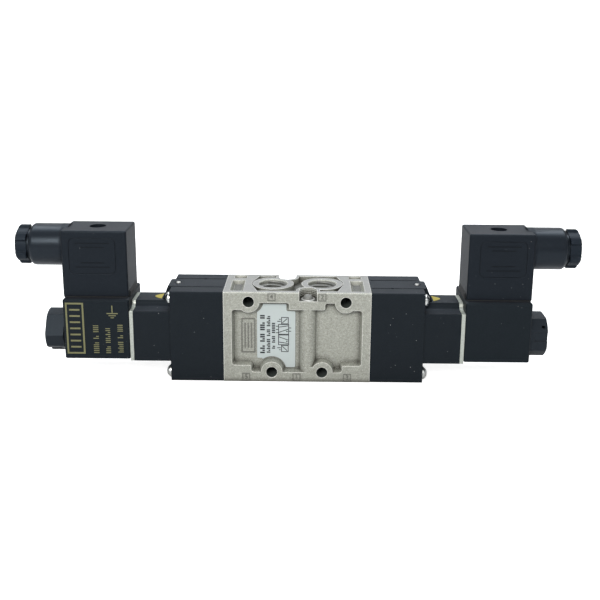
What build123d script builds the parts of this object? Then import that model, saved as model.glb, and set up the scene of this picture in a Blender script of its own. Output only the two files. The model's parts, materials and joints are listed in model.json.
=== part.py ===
from build123d import *
import math
import os

# 5/2 double-solenoid spool valve, in millimetres.
# Origin at the centre of the body's bottom face, X along the spool, Y across the
# body with the front at -Y, +Z out of the two outlet ports.
# Outboard parts are drawn for the +X (right) end and turned half a turn about Z
# for the -X (left) end.

# ---- shared dimensions --------------------------------------------------
BODY_L, BODY_W, BODY_H = 68.0, 30.0, 43.6
HALF_L, HALF_W = BODY_L / 2, BODY_W / 2
SPOOL_Z = 21.75          # spool axis height
PILOT_Z = 20.0           # pilot and armature axis height
NECK_Z = 61.8            # cable entry axis height

CROSS_R = 2.6            # cross holes through the body
CROSS_TOP = (22.4, 38.9)     # x, z of the upper pair
CROSS_BOT = (11.7, 4.75)     # x, z of the lower pair
POST = (5.0, -10.9)      # x, y of the front vertical drilling; the other is half a turn on
BALL_R, BALL_Z = 2.4, 39.3   # ball closing each drilling
POCKET_D = 3.3           # depth of the cast pockets in front and back

CAP_X0, CAP_X1 = HALF_L, 58.65
CAP_Z0, CAP_Z1 = 0.1, 43.5
CYL_R, CYL_X1 = 10.5, 45.2
CAP_SCREWS = [(y, z) for y in (10.9, -10.9) for z in (39.2, 3.6)]
PILOT_SCREWS = [(y, z) for y in (11.2, -11.2) for z in (12.9, 30.3)]
SCREW_R = 1.5            # cap and pilot screw shanks
SCREW_HOLE_R = 1.6       # clearance for them
CAP_GASKET_T, CAP_GASKET_RI, CAP_GASKET_RO = 1.0, 11.3, 13.1

GALLERY_R = 0.8
SUPPLY_Y, SUPPLY_Z = 9.5, 9.0    # pilot supply gallery
RISER_X = 50.0           # where the supply rises to the pilot axis
OUTLET_Z = 24.5          # gallery between the pilot block and the cylinder

PILOT_X1 = 75.75         # pilot block's outer face
PILOT_TOP_Z = 36.7
PLATE_X1 = 77.47         # yoke plate's outer face
TUBE_R = 4.5
CORE_X0 = 95.0           # end of the armature tube's bore
COIL_X1 = 108.06
COIL_Z0, COIL_Z1 = 10.3, 39.1
NUT_X0 = 108.7

CONN_X0, CONN_X1 = 78.1, 108.3
CONN_HALF = 11.0
CONN_Z0, CONN_Z1 = 39.7, 70.7
CONN_SCREW_X = 93.4
CONN_SEAT_Z = 65.4       # underside of the connector screw's head
SPIGOT_R, SPIGOT_X1 = 7.5, 127.4

OVERRIDE_X = 56.4        # manual override axis
OVERRIDE_BORE_R = 2.0
OVERRIDE_BORE_Z = 33.6   # floor of the override bore

SIDES = ((1, "right"), (-1, "left"))

os.makedirs("parts", exist_ok=True)


# ---- helpers ------------------------------------------------------------
def box(x0, x1, y0, y1, z0, z1):
    return Pos((x0 + x1) / 2, (y0 + y1) / 2, (z0 + z1) / 2) * Box(x1 - x0, y1 - y0, z1 - z0)


def rod_x(x0, x1, y, z, radius):
    return Pos((x0 + x1) / 2, y, z) * Rot(0, 90, 0) * Cylinder(radius, abs(x1 - x0))


def rod_y(y0, y1, x, z, radius):
    return Pos(x, (y0 + y1) / 2, z) * Rot(90, 0, 0) * Cylinder(radius, abs(y1 - y0))


def rod_z(z0, z1, x, y, radius):
    return Pos(x, y, (z0 + z1) / 2) * Cylinder(radius, abs(z1 - z0))


def cone_x(x0, x1, y, z, radius0, radius1):
    return Pos((x0 + x1) / 2, y, z) * Rot(0, 90, 0) * Cone(radius0, radius1, x1 - x0)


def cone_z(z0, z1, x, y, radius0, radius1):
    return Pos(x, y, (z0 + z1) / 2) * Cone(radius0, radius1, z1 - z0)


def ring_x(x0, x1, z, inner, outer):
    """Tube along X, centred on y = 0."""
    return rod_x(x0, x1, 0, z, outer) - rod_x(x0, x1, 0, z, inner)


def polygon(points):
    return make_face(Polyline(*points, close=True))


def prism_x(points_yz, x0, x1):
    plane = Plane(origin=(x0, 0, 0), x_dir=(0, 1, 0), z_dir=(1, 0, 0))
    return extrude(plane * polygon(points_yz), amount=x1 - x0)


def front_plane(y):
    """Plane facing +Y; its local x is -X and its local y is Z."""
    return Plane(origin=(0, y, 0), x_dir=(-1, 0, 0), z_dir=(0, 1, 0))


def front_polygon(points_xz):
    """Polygon for front_plane from points in the valve's own x, z."""
    return polygon([(-x, z) for x, z in points_xz])


def prism_y(points_xz, y0, y1):
    return extrude(front_plane(y0) * front_polygon(points_xz), amount=y1 - y0)


def helix_spring(length, radius, wire, turns):
    """Spring along local Z from 0 to length; wire is the wire's radius."""
    path = Helix((length - 2 * wire) / turns, length - 2 * wire, radius)
    profile = Plane(origin=path @ 0, z_dir=path % 0) * Circle(wire)
    return Pos(0, 0, wire) * sweep(profile, path=path)


def side(shape, sign):
    return shape if sign > 0 else Rot(0, 0, 180) * shape


def put(name, *shapes):
    """Write all the shapes' solids to one file."""
    solids = []
    for shape in shapes:
        solids += list(shape.solids())
    part = solids[0] if len(solids) == 1 else Compound(children=solids)
    part.label = name
    export_step(part, f"parts/{name}.step")


def put_together(name, *shapes):
    """One file holding the shapes at both ends."""
    put(name, *[side(shape, sign) for sign, _ in SIDES for shape in shapes])


def put_each(name, *shapes):
    """One file for each end."""
    for sign, end in SIDES:
        put(f"{name}_{end}", *[side(shape, sign) for shape in shapes])


# ---- valve body ---------------------------------------------------------
BORE_R = 7.0             # spool bore
CHAMBER_R, CHAMBER_W = 8.3, 5.5  # annular port chambers round the bore
PORT_PITCH = 11.6
PORT_R = 13.157 / 2      # G1/4 thread major radius
PORT_DEPTH = 11.5
PORT_LEAD_R = 7.0        # lead-in chamfer mouth
PORT_LEAD_H = PORT_LEAD_R - PORT_R
PORT_PASSAGE_R = 4.3
PORT_RING_R = 9.75       # raised ring round each outlet port
TOP_RECESS = 3.0
POST_BOSS_R = 5.5        # boss left in the recess round each drilling
CROSS_BOSS_R = 5.0
COLUMN_R = 3.9           # round column cast over each drilling
DRILL_R = 1.5
BALL_FIT = 0.02
SEAT_R, SEAT_Z = 4.1, 39.4   # slot above the ball, open to the nearest face
POCKET_TAPER = 20.0
SUPPLY_TAP_R = 0.7

# x, y outline of the recess in the top
TOP_OUTLINE = [(-21.6, -1.8), (-18.6, -12.3), (18.6, -12.3), (21.6, -1.8),
               (21.6, 1.8), (18.6, 12.3), (-18.6, 12.3), (-21.6, 1.8)]
# pockets near the ends of the top: x0, x1, y0, y1, depth, taper (x reversed at the left)
TOP_POCKETS = [(24.9, 31.1, -12.5, 4.8, 1.8, 32),
               (24.6, 30.6, 8.3, 12.6, 1.5, 25)]
# x, z outlines of the front pocket's two halves, which meet at the column
POCKET_LEFT = [(-30.2, 8.1), (-30.2, 35.1), (-22.4, 35.1), (-22.4, 38.6), (-3.46, 38.6),
               (-3.46, 35.3), (5.0, 35.3), (5.0, 4.7), (-21.3, 4.7), (-21.3, 8.1)]
POCKET_RIGHT = [(5.0, 35.3), (12.7, 35.3), (12.7, 38.6), (22.4, 38.6), (22.4, 35.1),
                (30.1, 35.1), (30.1, 8.1), (21.1, 8.1), (21.1, 4.7), (5.0, 4.7)]
POCKET_FOOT = [(4.4, 0), (7.6, 0), (7.6, 7.2), (4.4, 7.2)]
# rounded corners of the pocket: radius, then the x, z of each
POCKET_ROUNDS = [
    (1.35, [(-30.2, 8.1), (-30.2, 35.1), (30.1, 35.1), (30.1, 8.1),
            (-21.3, 4.7), (21.1, 4.7), (-3.46, 38.6), (12.7, 38.6)]),
    (0.6, [(-21.3, 8.1), (21.1, 8.1), (-3.46, 35.3), (12.7, 35.3)])]


def pocket_sketch():
    """Outline of the front pockets, for front_plane."""
    sketch = front_polygon(POCKET_LEFT) + front_polygon(POCKET_RIGHT)
    for x, z in (CROSS_TOP, CROSS_BOT):
        for sign in (-1, 1):
            sketch = sketch - Pos(-sign * x, z) * Circle(CROSS_BOSS_R)
    # solid foot where the column and the lower right boss run together
    sketch = sketch - front_polygon(POCKET_FOOT)
    for radius, corners in POCKET_ROUNDS:
        for x, z in corners:
            corner = sketch.vertices().sort_by_distance((-x, z, 0))[0]
            sketch = fillet(corner, radius)
    return sketch


def cut_castings(body):
    """Cast recess and pockets in the top, and pockets in front and back."""
    recess = polygon(TOP_OUTLINE)
    for sign in (1, -1):
        recess = recess - Pos(sign * PORT_PITCH, 0) * Circle(PORT_RING_R)
    for sign in (1, -1):
        recess = recess - Pos(sign * POST[0], sign * POST[1]) * Circle(POST_BOSS_R)
    body = body - extrude(Pos(0, 0, BODY_H - TOP_RECESS) * recess, amount=TOP_RECESS + 1)

    # the plane faces down, which reverses y, so each outline is mirrored first
    top_plane = Plane(origin=(0, 0, BODY_H), x_dir=(1, 0, 0), z_dir=(0, 0, -1))
    for sign in (1, -1):
        for x0, x1, y0, y1, depth, taper in TOP_POCKETS:
            x_lo, x_hi = sorted((sign * x0, sign * x1))
            mouth = polygon([(x_lo, y0), (x_hi, y0), (x_hi, y1), (x_lo, y1)])
            body = body - extrude(top_plane * mirror(mouth, Plane.XZ), amount=depth, taper=taper)

    pocket = extrude(front_plane(-HALF_W) * pocket_sketch(), amount=POCKET_D, taper=POCKET_TAPER)
    pocket = pocket - rod_z(4.0, 36.0, POST[0], -HALF_W + COLUMN_R, COLUMN_R)
    return body - pocket - side(pocket, -1)


def cut_drillings(body):
    """Vertical drillings, each with a ball socket and a slot above it."""
    for sign in (1, -1):
        x, y = sign * POST[0], sign * POST[1]
        body = body - rod_z(7.6, BALL_Z, x, y, DRILL_R)
        body = body - rod_z(BALL_Z - BALL_R, BODY_H, x, y, BALL_R + BALL_FIT)
        slot = rod_z(SEAT_Z, BODY_H + 1, x, y, SEAT_R)
        y0, y1 = sorted((y, -sign * (HALF_W + 1)))
        slot = slot + box(x - SEAT_R, x + SEAT_R, y0, y1, SEAT_Z, BODY_H + 1)
        body = body - slot
    return body


def cut_ports(body):
    """Two outlet ports in the top and three ports in the bottom."""
    for x in (PORT_PITCH, -PORT_PITCH):
        body = body - rod_z(BODY_H - PORT_DEPTH, BODY_H + 1, x, 0, PORT_R)
        body = body - cone_z(BODY_H - PORT_LEAD_H, BODY_H, x, 0, PORT_R, PORT_LEAD_R)
        body = body - rod_z(SPOOL_Z, BODY_H - PORT_DEPTH + 1, x, 0, PORT_PASSAGE_R)
    for x in (0, 2 * PORT_PITCH, -2 * PORT_PITCH):
        body = body - rod_z(-1, PORT_DEPTH, x, 0, PORT_R)
        body = body - cone_z(0, PORT_LEAD_H, x, 0, PORT_LEAD_R, PORT_R)
        body = body - rod_z(PORT_DEPTH - 1, SPOOL_Z, x, 0, PORT_PASSAGE_R)
    return body


def make_body():
    body = box(-HALF_L, HALF_L, -HALF_W, HALF_W, 0, BODY_H)
    body = chamfer(body.edges().filter_by(Axis.X), 0.35)
    body = cut_castings(body)
    for sign in (1, -1):
        for x, z in (CROSS_TOP, CROSS_BOT):
            body = body - rod_y(-HALF_W - 1, HALF_W + 1, sign * x, z, CROSS_R)
    body = cut_drillings(body)
    body = cut_ports(body)

    # spool bore and its annular chambers
    body = body - rod_x(-HALF_L - 1, HALF_L + 1, 0, SPOOL_Z, BORE_R)
    for i in (-2, -1, 0, 1, 2):
        x = i * PORT_PITCH
        body = body - rod_x(x - CHAMBER_W / 2, x + CHAMBER_W / 2, 0, SPOOL_Z, CHAMBER_R)

    # supply galleries from the middle bottom port to each end, and cap screw holes
    for sign in (1, -1):
        gallery = rod_x(-POST[0], HALF_L + 1, SUPPLY_Y, SUPPLY_Z, GALLERY_R)
        body = body - side(gallery, sign)
        body = body - side(rod_y(5.5, SUPPLY_Y, 0, SUPPLY_Z, SUPPLY_TAP_R), sign)
        for y, z in CAP_SCREWS:
            body = body - side(rod_x(26.4, HALF_L + 1, y, z, SCREW_R), sign)
    return body


put("valve_body", make_body())
put_together("plug_balls", Pos(*POST, BALL_Z) * Sphere(BALL_R))


# ---- spool and its rings, in the resting position -----------------------
SPOOL_X0, SPOOL_X1 = -39.1, 34.6
STEM_R, LAND_R = 4.0, 6.6
LANDS = [(-33.8, -30.2), (-25.4, -21.8), (-6.0, 1.5), (17.3, 20.9), (25.7, 29.3)]  # x0, x1
RING_AT = [-32.0, -23.6, -4.2, -0.3, 19.1, 27.5]     # x of each seal ring
RING_MINOR, RING_MAJOR = 0.88, 6.09
GROOVE_HALF_W = 1.0
WRENCH_R, WRENCH_D = 1.5, 5  # round hole in each end


def make_spool():
    spool = rod_x(SPOOL_X0, SPOOL_X1, 0, SPOOL_Z, STEM_R)
    for x0, x1 in LANDS:
        spool = spool + rod_x(x0, x1, 0, SPOOL_Z, LAND_R)
    for x in RING_AT:
        spool = spool - ring_x(x - GROOVE_HALF_W, x + GROOVE_HALF_W, SPOOL_Z,
                               RING_MAJOR - RING_MINOR, 8.0)
    spool = spool - rod_x(SPOOL_X0 - 1, SPOOL_X0 + WRENCH_D, 0, SPOOL_Z, WRENCH_R)
    return spool - rod_x(SPOOL_X1 - WRENCH_D, SPOOL_X1 + 1, 0, SPOOL_Z, WRENCH_R)


put("spool", make_spool())
put("spool_seals", *[Pos(x, 0, SPOOL_Z) * Rot(0, 90, 0) * Torus(RING_MAJOR, RING_MINOR)
                     for x in RING_AT])


# ---- label on the floor of the front pocket -----------------------------
LABEL_T = 0.18
# x, z outline
LABEL_OUTLINE = [(-18.6, 10.6), (-18.6, 37.1), (-4.95, 37.1), (-4.95, 33.7),
                 (-0.8, 33.7), (-0.8, 6.1), (-16.0, 6.1), (-16.0, 10.6)]


def make_label():
    outline = front_polygon(LABEL_OUTLINE)
    outline = fillet(outline.vertices(), 0.6)
    # clear the left cross-hole bosses, which lie at positive local x
    outline = outline - Pos(*CROSS_BOT) * Circle(6.7)
    outline = outline - Pos(*CROSS_TOP) * Circle(6.9)
    label = extrude(front_plane(-HALF_W + POCKET_D - LABEL_T) * outline, amount=LABEL_T)
    # keep only the main piece
    return max(label.solids(), key=lambda solid: solid.volume)


put("label_plate", make_label())


# ---- end caps -----------------------------------------------------------
FAIRING_HALF = 6.2
TOP_GROOVE_Y, TOP_GROOVE_HALF, TOP_GROOVE_D = 6.75, 0.45, 0.5
HEAD_R, HEAD_T = 3.0, 2.4
DOME_R, DOME_BACK = 3.48, 0.87   # sphere rounding the head, and its centre behind the face
HEX_R = 1.44                     # hexagon socket, across-corners radius
HEX_Z_FLOOR = 1.1                # socket floor above the seat


def make_fairing():
    """Block sloping down from the cap's top onto the pilot block, narrowing outboard."""
    z0 = PILOT_TOP_Z + 0.05
    fairing = prism_y([(CAP_X1 - 1, CAP_Z1), (60.6, CAP_Z1), (63.3, z0), (CAP_X1 - 1, z0)],
                      -FAIRING_HALF, FAIRING_HALF)
    for sign in (1, -1):
        corner = polygon([(59.2, sign * 6.3), (64.0, sign * 4.2),
                          (64.0, sign * 9.0), (59.2, sign * 9.0)])
        fairing = fairing - extrude(Pos(0, 0, 30) * corner, amount=20)
    return fairing


def make_cap():
    cap = box(CAP_X0, CAP_X1, -HALF_W, HALF_W, CAP_Z0, CAP_Z1)
    cap = chamfer(cap.edges().filter_by(Axis.X), 0.4)
    cap = cap + make_fairing()
    # grooves along the top, with a small round hole on the front one
    for sign in (1, -1):
        y = sign * TOP_GROOVE_Y
        cap = cap - box(CAP_X0 + 0.8, CAP_X1 + 5, y - TOP_GROOVE_HALF, y + TOP_GROOVE_HALF,
                        CAP_Z1 - TOP_GROOVE_D, CAP_Z1 + 1)
    cap = cap - rod_z(CAP_Z1 - 1.6, CAP_Z1 + 1, 44.3, -TOP_GROOVE_Y, 0.85)
    # cylinder and gasket groove
    cap = cap - rod_x(CAP_X0 - 1, CYL_X1, 0, SPOOL_Z, CYL_R)
    cap = cap - ring_x(CAP_X0 - 1, CAP_X0 + CAP_GASKET_T, SPOOL_Z, CAP_GASKET_RI, CAP_GASKET_RO)
    # outlet gallery, then the supply gallery in, across, up and out
    cap = cap - rod_x(CYL_X1 - 1, CAP_X1 + 1, 0, OUTLET_Z, GALLERY_R)
    cap = cap - rod_x(CAP_X0 - 1, RISER_X + GALLERY_R, SUPPLY_Y, SUPPLY_Z, GALLERY_R)
    cap = cap - rod_y(0, SUPPLY_Y, RISER_X, SUPPLY_Z, GALLERY_R)
    cap = cap - rod_z(SUPPLY_Z, PILOT_Z, RISER_X, 0, GALLERY_R)
    cap = cap - rod_x(RISER_X, CAP_X1 + 1, 0, PILOT_Z, GALLERY_R)
    # override bore, and its passage down to the outlet gallery
    cap = cap - rod_z(OVERRIDE_BORE_Z, CAP_Z1 + 1, OVERRIDE_X, 0, OVERRIDE_BORE_R)
    cap = cap - rod_z(OUTLET_Z, 34.0, OVERRIDE_X, 0, 0.5)
    for y, z in CAP_SCREWS:
        cap = cap - rod_x(CAP_X0 - 1, CAP_X1 + 1, y, z, SCREW_HOLE_R)
    for y, z in PILOT_SCREWS:
        cap = cap - rod_x(50.5, CAP_X1 + 1, y, z, SCREW_R)
    return cap


def make_cap_screw(y, z):
    """Domed head with a hexagon socket."""
    dome = Pos(CAP_X1 - DOME_BACK, y, z) * Rot(0, 90, 0) * Sphere(DOME_R)
    head = rod_x(CAP_X1, CAP_X1 + HEAD_T, y, z, HEAD_R) & dome
    shank = rod_x(27.0, CAP_X1, y, z, SCREW_R)
    angles = [math.radians(60 * k) for k in range(6)]
    socket = prism_x([(y + HEX_R * math.cos(a), z + HEX_R * math.sin(a)) for a in angles],
                     CAP_X1 + HEX_Z_FLOOR, CAP_X1 + HEAD_T + 1)
    return head + shank - socket


put_each("end_cap", make_cap())
put_together("end_cap_screws", *[make_cap_screw(y, z) for y, z in CAP_SCREWS])
put_together("end_cap_gaskets", ring_x(CAP_X0, CAP_X0 + CAP_GASKET_T, SPOOL_Z,
                                       CAP_GASKET_RI, CAP_GASKET_RO))


# ---- pistons, each against its end of the spool -------------------------
PISTON_R, PISTON_L = 10.3, 5.0
SEAL_X0, SEAL_X1, SEAL_RI = 1.6, 3.6, 8.8    # seal groove, from the piston's inner face


def make_piston(x0):
    piston = rod_x(x0, x0 + PISTON_L, 0, SPOOL_Z, PISTON_R)
    piston = piston - ring_x(x0 + SEAL_X0, x0 + SEAL_X1, SPOOL_Z, SEAL_RI, 12)
    # shallow round recess in the outer face
    return piston - rod_x(x0 + PISTON_L - 1, x0 + PISTON_L + 1, 0, SPOOL_Z, 5.0)


for sign, end in SIDES:
    piston_x0 = SPOOL_X1 if sign > 0 else -SPOOL_X0
    seal = ring_x(piston_x0 + SEAL_X0, piston_x0 + SEAL_X1, SPOOL_Z, SEAL_RI, CYL_R - 0.05)
    put(f"piston_{end}", side(make_piston(piston_x0), sign))
    put(f"piston_seal_{end}", side(seal, sign))


# ---- pilot block and yoke plate -----------------------------------------
PILOT_HALF = 14.5
PILOT_Z0 = 9.6
LEDGE_Z = 33.75
STRIP_HALF = 6.0         # half width of the raised top strip
PILOT_GASKET = (-8, 8, 14, 30)   # y0, y1, z0, z1
PILOT_GASKET_T = 0.6
SEAT_X0, SEAT_X1, SEAT_BODY_R = 64.5, 67.5, 2.5
PLUNGER_X0 = 69.9        # plunger's inner end, against the seat
FLANGE_X0, FLANGE_R = 73.75, 8.0     # armature tube's flange
ORING_X0, ORING_RI, ORING_RO = 72.7, 5.9, 7.6
# x, y outline of the raised mark, pointed outboard
MARK_OUTLINE = [(64.0, 3.9), (64.0, -3.9), (66.4, -2.1), (67.4, -0.9),
                (67.6, 0.0), (67.4, 0.9), (66.4, 2.1)]


def pilot_outline():
    """(y, z) outline: ledges either side of a raised strip with concave walls."""
    points = [(-PILOT_HALF, PILOT_Z0), (PILOT_HALF, PILOT_Z0),
              (PILOT_HALF, LEDGE_Z - 0.3), (PILOT_HALF - 0.3, LEDGE_Z)]
    radius = PILOT_TOP_Z - LEDGE_Z
    for k in range(7):
        angle = math.radians(15 * k)
        points.append((STRIP_HALF + 0.25 + radius * (1 - math.sin(angle)),
                       LEDGE_Z + radius * (1 - math.cos(angle))))
    points.append((STRIP_HALF, PILOT_TOP_Z))
    return points + [(-y, z) for y, z in reversed(points[2:])]


def make_pilot():
    block = prism_x(pilot_outline(), CAP_X1, PILOT_X1)
    block = block - box(CAP_X1 - 1, CAP_X1 + PILOT_GASKET_T, *PILOT_GASKET)
    block = block - rod_x(CAP_X1, 65, 0, PILOT_Z, GALLERY_R)
    block = block - rod_x(CAP_X1, 68, 0, OUTLET_Z, GALLERY_R)
    # seat bore, plunger chamber, flange recess and O-ring groove
    block = block - rod_x(SEAT_X0, 68.0, 0, PILOT_Z, SEAT_BODY_R)
    block = block - rod_x(SEAT_X1, PILOT_X1, 0, PILOT_Z, 5.5)
    block = block - rod_x(FLANGE_X0, PILOT_X1 + 1, 0, PILOT_Z, FLANGE_R + 0.05)
    block = block - ring_x(ORING_X0, 74.0, PILOT_Z, ORING_RI, ORING_RO)
    for y, z in PILOT_SCREWS:
        block = block - rod_x(CAP_X1 - 1, PILOT_X1 + 1, y, z, SCREW_HOLE_R)
    return block


def make_plate():
    plate = prism_x(pilot_outline(), PILOT_X1, PLATE_X1)
    plate = plate - rod_x(PILOT_X1 - 1, PLATE_X1 + 1, 0, PILOT_Z, TUBE_R + 0.1)
    for y, z in PILOT_SCREWS:
        plate = plate - cone_x(PILOT_X1 - 0.001, PLATE_X1, y, z, SCREW_HOLE_R, 3.0)
        plate = plate - rod_x(PILOT_X1 - 1, PLATE_X1 + 1, y, z, SCREW_HOLE_R)
    return plate


def make_pilot_screw(y, z):
    """Countersunk screw through plate and block into the cap."""
    shank = rod_x(51.0, PLATE_X1 - 1.2, y, z, SCREW_R)
    return shank + cone_x(PLATE_X1 - 1.4, PLATE_X1 - 0.12, y, z, SCREW_R, 2.7)


def make_pilot_gasket():
    gasket = box(CAP_X1, CAP_X1 + PILOT_GASKET_T, *PILOT_GASKET)
    for z in (PILOT_Z, OUTLET_Z):
        gasket = gasket - rod_x(CAP_X1 - 1, CAP_X1 + 1, 0, z, 1.0)
    return gasket


def make_seat():
    """Drilled plug with a conical nose towards the plunger."""
    seat = rod_x(SEAT_X0, SEAT_X1, 0, PILOT_Z, SEAT_BODY_R)
    seat = seat + cone_x(SEAT_X1, PLUNGER_X0, 0, PILOT_Z, 2.0, 0.95)
    return seat - rod_x(64, 71, 0, PILOT_Z, 0.5)


put_each("pilot_block", make_pilot())
put_each("yoke_plate", make_plate())
put_together("pilot_screws", *[make_pilot_screw(y, z) for y, z in PILOT_SCREWS])
put_together("pilot_gaskets", make_pilot_gasket())
put_together("pilot_seats", make_seat())
put_together("tube_orings", ring_x(ORING_X0, FLANGE_X0, PILOT_Z, ORING_RI, ORING_RO))
put_each("pilot_mark", extrude(Pos(0, 0, PILOT_TOP_Z) * polygon(MARK_OUTLINE), amount=0.12))


# ---- armature tube, plunger, spring -------------------------------------
TUBE_X1, TUBE_BORE_R = 115.8, 3.6
PLUNGER_R, PLUNGER_TRAVEL = 3.55, 1.0
PLUNGER_CONE_X1 = 70.6
PAD_X1, PAD_R = 71.9, 1.8
SPRING_X0 = 84.0         # floor of the plunger's spring bore


def make_tube():
    tube = rod_x(FLANGE_X0, PILOT_X1, 0, PILOT_Z, FLANGE_R)
    tube = tube + rod_x(PILOT_X1, TUBE_X1, 0, PILOT_Z, TUBE_R)
    return tube - rod_x(73.0, CORE_X0, 0, PILOT_Z, TUBE_BORE_R)


def make_plunger():
    x1 = CORE_X0 - PLUNGER_TRAVEL
    plunger = rod_x(PLUNGER_CONE_X1, x1, 0, PILOT_Z, PLUNGER_R)
    plunger = plunger + cone_x(PLUNGER_X0, PLUNGER_CONE_X1, 0, PILOT_Z, 2.8, PLUNGER_R)
    plunger = plunger - rod_x(69, PAD_X1, 0, PILOT_Z, PAD_R)
    plunger = plunger - rod_x(SPRING_X0, x1 + 1, 0, PILOT_Z, 1.95)
    for sign in (1, -1):   # flats that let air past
        z = PILOT_Z + sign * 3.9
        plunger = plunger - box(76.0, x1 + 1, -5, 5, z - 0.7, z + 0.7)
    return plunger


plunger_spring = helix_spring(length=CORE_X0 - SPRING_X0, radius=1.5, wire=0.26, turns=9)
put_each("armature_tube", make_tube())
put_each("plunger", make_plunger())
put_each("plunger_pad", rod_x(PLUNGER_X0, PAD_X1, 0, PILOT_Z, PAD_R))
put_each("plunger_spring", Pos(SPRING_X0, 0, PILOT_Z) * Rot(0, 90, 0) * plunger_spring)


# ---- coil ---------------------------------------------------------------
COIL_HALF = 14.5
COIL_BORE_R = 8.6
PLINTH_X0, PLINTH_X1, PLINTH_HALF, PLINTH_Z1 = 82.0, 105.0, 8.6, 41.4
BOBBIN_R, BOBBIN_FLANGE_T = 5.4, 1.2
BLADE_Z0, BLADE_Z1 = 34.5, 49.0
BLADE_OFF_X, BLADE_Y = 5.5, -6.5     # centre offset of the pair, and y of the third blade


def blade_boxes(z0, z1, half_width=3.15, half_thick=0.4):
    """Three terminal blades: a pair across X and one at the front."""
    pair = [box(x - half_thick, x + half_thick, -half_width, half_width, z0, z1)
            for x in (CONN_SCREW_X - BLADE_OFF_X, CONN_SCREW_X + BLADE_OFF_X)]
    return pair + [box(CONN_SCREW_X - half_width, CONN_SCREW_X + half_width,
                       BLADE_Y - half_thick, BLADE_Y + half_thick, z0, z1)]


def make_coil():
    coil = box(PLATE_X1, COIL_X1, -COIL_HALF, COIL_HALF, COIL_Z0, COIL_Z1)
    coil = fillet(coil.edges().filter_by(Axis.Z), 0.9)
    coil = chamfer(coil.edges().group_by(Axis.Z)[0] + coil.edges().group_by(Axis.Z)[-1], 0.5)
    plinth = box(PLINTH_X0, PLINTH_X1, -PLINTH_HALF, PLINTH_HALF, COIL_Z1, PLINTH_Z1)
    coil = coil + fillet(plinth.edges().filter_by(Axis.Z), 1.2)
    coil = coil - rod_x(PLATE_X1 - 1, COIL_X1 + 1, 0, PILOT_Z, COIL_BORE_R)
    coil = coil - rod_z(33.5, 42, CONN_SCREW_X, 0, 1.5)
    for slot in blade_boxes(BLADE_Z0, 42):
        coil = coil - slot
    return coil


def make_bobbin():
    bobbin = ring_x(PLATE_X1, COIL_X1, PILOT_Z, TUBE_R + 0.05, BOBBIN_R)
    for x in (PLATE_X1, COIL_X1 - BOBBIN_FLANGE_T):
        bobbin = bobbin + ring_x(x, x + BOBBIN_FLANGE_T, PILOT_Z, BOBBIN_R - 0.1, COIL_BORE_R)
    return bobbin


put_each("coil", make_coil())
put_each("coil_terminals", *blade_boxes(BLADE_Z0, BLADE_Z1))
put_together("coil_windings", ring_x(PLATE_X1 + BOBBIN_FLANGE_T, COIL_X1 - BOBBIN_FLANGE_T,
                                     PILOT_Z, BOBBIN_R, 8.5))
put_together("coil_bobbins", make_bobbin())


# ---- coil nut -----------------------------------------------------------
NUT_L = 8.6
NUT_R = 10.6             # circumradius
NUT_HALF_FLAT = 29       # half the angle of a broad flat
NUT_OUT = {1: 0.0, -1: 1.0}      # the left nut is run out one millimetre further
NUT_TURN = {1: -2.6, -1: 60.6}   # resting angle of each nut
PAD_TURN = {1: 0, -1: 180}       # which broad flat carries the pad
NUT_RECESS = 0.7         # depth of the recess for the seal


def nut_direction(degrees):
    """Unit (y, z) at an angle; 0 is -Y, before any half turn, and 90 is +Z."""
    angle = math.radians(degrees)
    return -math.cos(angle), math.sin(angle)


def make_nut(sign):
    """Eight-sided knob: four broad flats and four narrow ones, chamfered outer end."""
    turn = NUT_TURN[sign]
    points = []
    for k in range(4):
        for offset in (-NUT_HALF_FLAT, NUT_HALF_FLAT):
            y, z = nut_direction(k * 90 + turn + offset)
            points.append((NUT_R * y, PILOT_Z + NUT_R * z))
    x0 = NUT_X0 + NUT_OUT[sign]
    x1 = x0 + NUT_L
    nut = prism_x(points, x0, x1)
    nut = nut & (cone_x(x1 - 0.5, x1, 0, PILOT_Z, NUT_R + 0.1, NUT_R - 0.5)
                 + rod_x(x0, x1 - 0.5, 0, PILOT_Z, NUT_R + 0.1))
    nut = nut - rod_x(x0 - 1, x0 + 7.3, 0, PILOT_Z, TUBE_R + 0.05)
    nut = nut - rod_x(x0 - 1, x0 + NUT_RECESS, 0, PILOT_Z, 6.3)

    # radial vent in the narrow flat next to the pad
    turn += PAD_TURN[sign]
    y, z = nut_direction(turn + 38)
    vent = Plane(origin=(x1 - 2.05, y * 6.5, PILOT_Z + z * 6.5), z_dir=(0, y, z))
    nut = nut - extrude(vent * Circle(0.88), amount=6)

    # shallow pad in a broad flat, open to the outer end and set to one side
    start = NUT_R * math.cos(math.radians(NUT_HALF_FLAT)) + 0.5
    shift = 1.7
    y, z = nut_direction(turn)
    along_y, along_z = nut_direction(turn + 90)
    pad = Plane(origin=(x1 - 3.0, y * start + along_y * shift,
                        PILOT_Z + z * start + along_z * shift),
                x_dir=(1, 0, 0), z_dir=(0, -y, -z))
    return nut - extrude(pad * Rectangle(6.4, 4.6), amount=0.95)


for sign, end in SIDES:
    put(f"coil_nut_{end}", side(make_nut(sign), sign))
put_together("coil_nut_seals", ring_x(COIL_X1, NUT_X0 + NUT_RECESS, PILOT_Z, TUBE_R + 0.02, 6.2))


# ---- connector ----------------------------------------------------------
CONN_WALL, CONN_ROOF = 1.6, 1.8
NECK_R, NECK_X1, NECK_BORE_R = 9.85, 124.1, 6.0
STEP_X0, STEP_X1 = 118.1, 119.6      # inward step in the neck's bore
INSERT_GAP = 1.8         # insert's inset from the housing's outside
INSERT_Z0, INSERT_Z1 = 41.6, 54.5


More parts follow.
